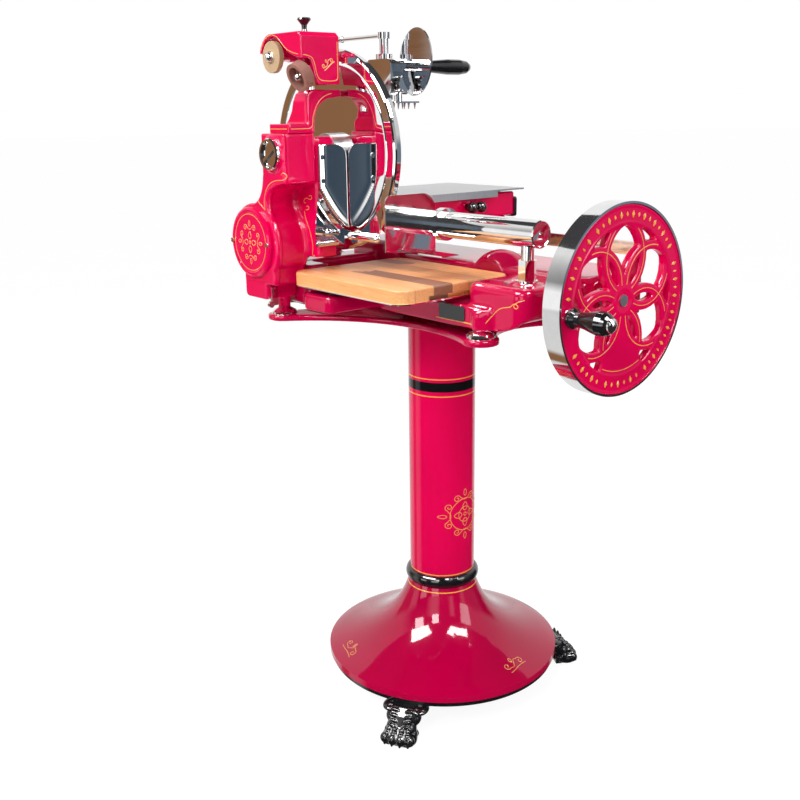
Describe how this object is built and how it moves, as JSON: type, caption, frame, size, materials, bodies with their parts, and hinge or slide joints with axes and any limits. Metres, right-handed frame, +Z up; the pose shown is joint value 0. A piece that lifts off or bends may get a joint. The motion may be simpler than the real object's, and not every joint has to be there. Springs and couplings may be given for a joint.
{
  "type": "hand crank meat slicer",
  "caption": "Free-standing slicer with a round blade turned by a crank flywheel, a sliding meat table with press, a sharpener, and a cast pedestal.",
  "frame": {"origin": "on the floor under the column's axis", "axes": "+Z up along the column, +X towards the flywheel along the carriage's stroke, +Y from the blade's outer side towards the meat table"},
  "size_m": [0.793, 0.5834, 1.327],
  "materials": {
    "pink_enamel": "deep glossy pink stoving enamel with yellow pinstripes",
    "black_enamel": "gloss black enamel",
    "chrome": "bright chrome plate",
    "steel": "machined steel",
    "mirror_steel": "mirror polished stainless steel",
    "black_knob": "turned gloss black",
    "wood": "strips of light and dark wood, oiled",
    "beige_stone": "bonded grinding stone",
    "brown_stone": "bonded honing stone"
  },
  "bodies": {
    "frame": {"pedestal_base": "pink_enamel", "under_ring": "black_enamel", "lion_paws": "black_enamel", "paw_bolts": "steel", "column": "pink_enamel", "column_bead": "black_enamel", "tie_bolt": "steel", "top_plate": "pink_enamel", "machine_feet": "chrome", "machine_base": "pink_enamel", "front_panel": "black_enamel", "gear_case": "pink_enamel", "round_cover": "pink_enamel", "case_screws": "chrome", "bearing_cap": "chrome", "drive_chain": "steel", "blade_guard": "chrome", "deflector": "mirror_steel", "lower_plate": "mirror_steel", "plate_handle": "chrome", "side_plate": "mirror_steel", "tray": "mirror_steel", "guide_tube": "chrome", "tube_cap": "pink_enamel", "tube_post": "chrome", "rear_rail": "chrome", "sharpener_arm": "pink_enamel"},
    "flywheel": {"flywheel_rim": "chrome", "flywheel": "pink_enamel", "flywheel_shaft": "steel", "handle_spindle": "chrome", "bevel_gear": "steel"},
    "handle": {"crank_handle": "black_knob"},
    "cross_shaft": {"cross_shaft": "steel"},
    "idler": {"idler_gear": "steel"},
    "blade": {"blade": "mirror_steel", "blade_screws": "steel", "blade_shaft": "steel"},
    "carriage": {"carriage": "pink_enamel", "feed_box": "pink_enamel", "box_end": "black_enamel"},
    "knob_near": {"feed_knob_near": "black_knob"},
    "knob_far": {"feed_knob_far": "black_knob"},
    "table": {"meat_table": "chrome", "press_post": "chrome"},
    "press": {"press_block": "chrome", "press_plate": "steel", "hand_guard": "mirror_steel", "press_handle": "black_knob"},
    "clamp_star": {"star_knob": "chrome"},
    "sharpener_stem": {"sharpener_spindle": "steel", "lift_knob": "black_knob"},
    "sharpener_head": {"sharpener_hood": "pink_enamel"},
    "flat_stone": {"grinding_stone": "beige_stone", "grinding_spindle": "steel"},
    "cup_stone": {"honing_stone": "brown_stone", "honing_spindle": "steel"},
    "guard_lock": {"guard_knob": "pink_enamel"},
    "foot_hook": {"hold_down_hook": "chrome"},
    "board": {"cutting_board": "wood"}
  },
  "joints": [
    {"name": "flywheel_spin", "type": "hinge", "parent": "frame", "child": "flywheel", "pos_m": [0.39, 0.051, 0.855], "axis": [1, 0, 0], "continuous": true},
    {"name": "handle_spin", "type": "hinge", "parent": "flywheel", "child": "handle", "pos_m": [0.44, -0.08558, 0.84425], "axis": [1, 0, 0], "continuous": true},
    {"name": "cross_spin", "type": "hinge", "parent": "frame", "child": "cross_shaft", "pos_m": [-0.212, 0, 0.855], "axis": [0, 1, 0], "continuous": true},
    {"name": "idler_spin", "type": "hinge", "parent": "frame", "child": "idler", "pos_m": [-0.201, -0.256, 0.93298], "axis": [0, 1, 0], "continuous": true},
    {"name": "blade_spin", "type": "hinge", "parent": "frame", "child": "blade", "pos_m": [-0.124, -0.156, 1.095], "axis": [0, 1, 0], "continuous": true},
    {"name": "carriage_slide", "type": "slide", "parent": "frame", "child": "carriage", "axis": [1, 0, 0], "range_m": [-0.09, 0.085]},
    {"name": "near_knob_turn", "type": "hinge", "parent": "carriage", "child": "knob_near", "pos_m": [-0.006, 0.088, 0.982], "axis": [1, 0, 0], "range_deg": [-45, 45]},
    {"name": "far_knob_turn", "type": "hinge", "parent": "carriage", "child": "knob_far", "pos_m": [-0.006, 0.112, 0.982], "axis": [1, 0, 0], "range_deg": [-45, 45]},
    {"name": "table_feed", "type": "slide", "parent": "carriage", "child": "table", "axis": [0, 1, 0], "range_m": [0, 0.12]},
    {"name": "press_lift", "type": "slide", "parent": "table", "child": "press", "axis": [0, 0, 1], "range_m": [-0.14, 0.018]},
    {"name": "star_turn", "type": "hinge", "parent": "press", "child": "clamp_star", "pos_m": [-0.092, -0.014, 1.216], "axis": [1, 0, 0], "range_deg": [-180, 180]},
    {"name": "sharpener_lift", "type": "slide", "parent": "frame", "child": "sharpener_stem", "axis": [0, 0, 1], "range_m": [0, 0.025]},
    {"name": "sharpener_swivel", "type": "hinge", "parent": "sharpener_stem", "child": "sharpener_head", "pos_m": [-0.112, -0.224, 1.25], "axis": [0, 0, 1], "range_deg": [0, 35]},
    {"name": "flat_stone_spin", "type": "hinge", "parent": "sharpener_head", "child": "flat_stone", "pos_m": [-0.149, -0.268, 1.261], "axis": [0, 1, 0], "continuous": true},
    {"name": "cup_stone_spin", "type": "hinge", "parent": "sharpener_head", "child": "cup_stone", "pos_m": [-0.073, -0.272, 1.223], "axis": [0, 0.8988, 0.4384], "continuous": true},
    {"name": "guard_knob_turn", "type": "hinge", "parent": "frame", "child": "guard_lock", "pos_m": [-0.052, -0.174, 1.258], "axis": [0, 0, 1], "range_deg": [-180, 180]},
    {"name": "hook_swing", "type": "hinge", "parent": "frame", "child": "foot_hook", "pos_m": [-0.161, -0.281, 0.844], "axis": [1, 0, 0], "range_deg": [-90, 0]},
    {"name": "board_slide", "type": "slide", "parent": "frame", "child": "board", "axis": [0, -1, 0], "range_m": [0, 0.26]}
  ],
  "couplings": [
    {"joint": "cross_spin", "follows": "flywheel_spin", "ratio": 2},
    {"joint": "idler_spin", "follows": "flywheel_spin", "ratio": -0.68085},
    {"joint": "blade_spin", "follows": "flywheel_spin", "ratio": -1.459}
  ]
}
